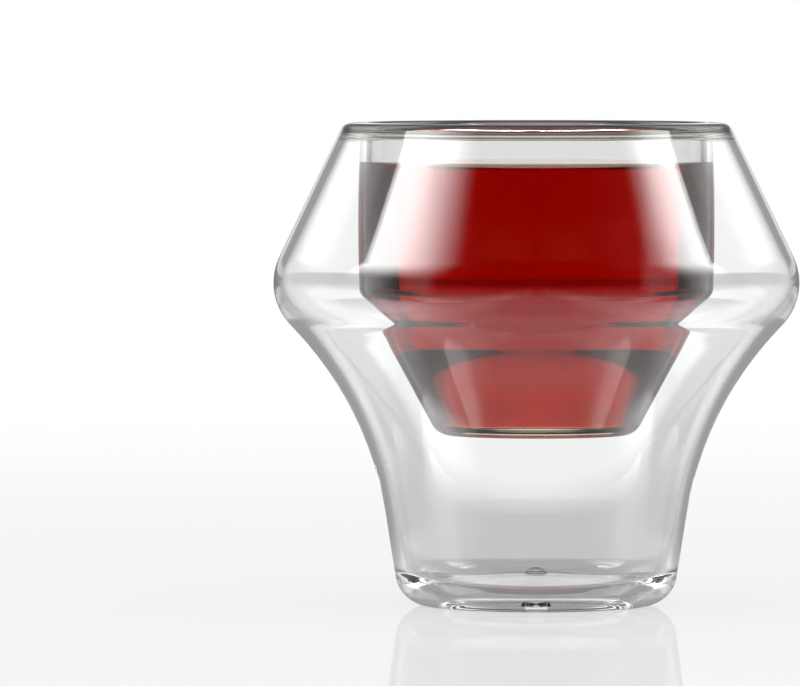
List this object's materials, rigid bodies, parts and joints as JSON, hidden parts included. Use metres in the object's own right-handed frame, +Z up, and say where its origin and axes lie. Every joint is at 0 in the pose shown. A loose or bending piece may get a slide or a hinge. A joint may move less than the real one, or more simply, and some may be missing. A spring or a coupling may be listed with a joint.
{
  "type": "double walled glass cup",
  "caption": "Double walled glass cup with a wide belly, a flared waist, a drinking bowl hung inside an air gap, a fused rim and a sealed vent in its hollow base.",
  "frame": {"origin": "centre of the foot, on the plane that the glass stands on", "axes": "+Z up along the axis of the glass; the form is a body of revolution, so +X and +Y may be any two directions square to it"},
  "size_m": [0.0782, 0.0782, 0.072],
  "materials": {
    "body_glass": "clear, fire polished",
    "bowl_glass": "clear, fire polished",
    "rim_glass": "clear with a faint grey-green tint, flame polished",
    "bead_glass": "clear, melted"
  },
  "bodies": {
    "root": {"outer_glass": "body_glass", "inner_glass": "bowl_glass", "rim_seal": "rim_glass", "vent_seal": "bead_glass"}
  },
  "joints": []
}
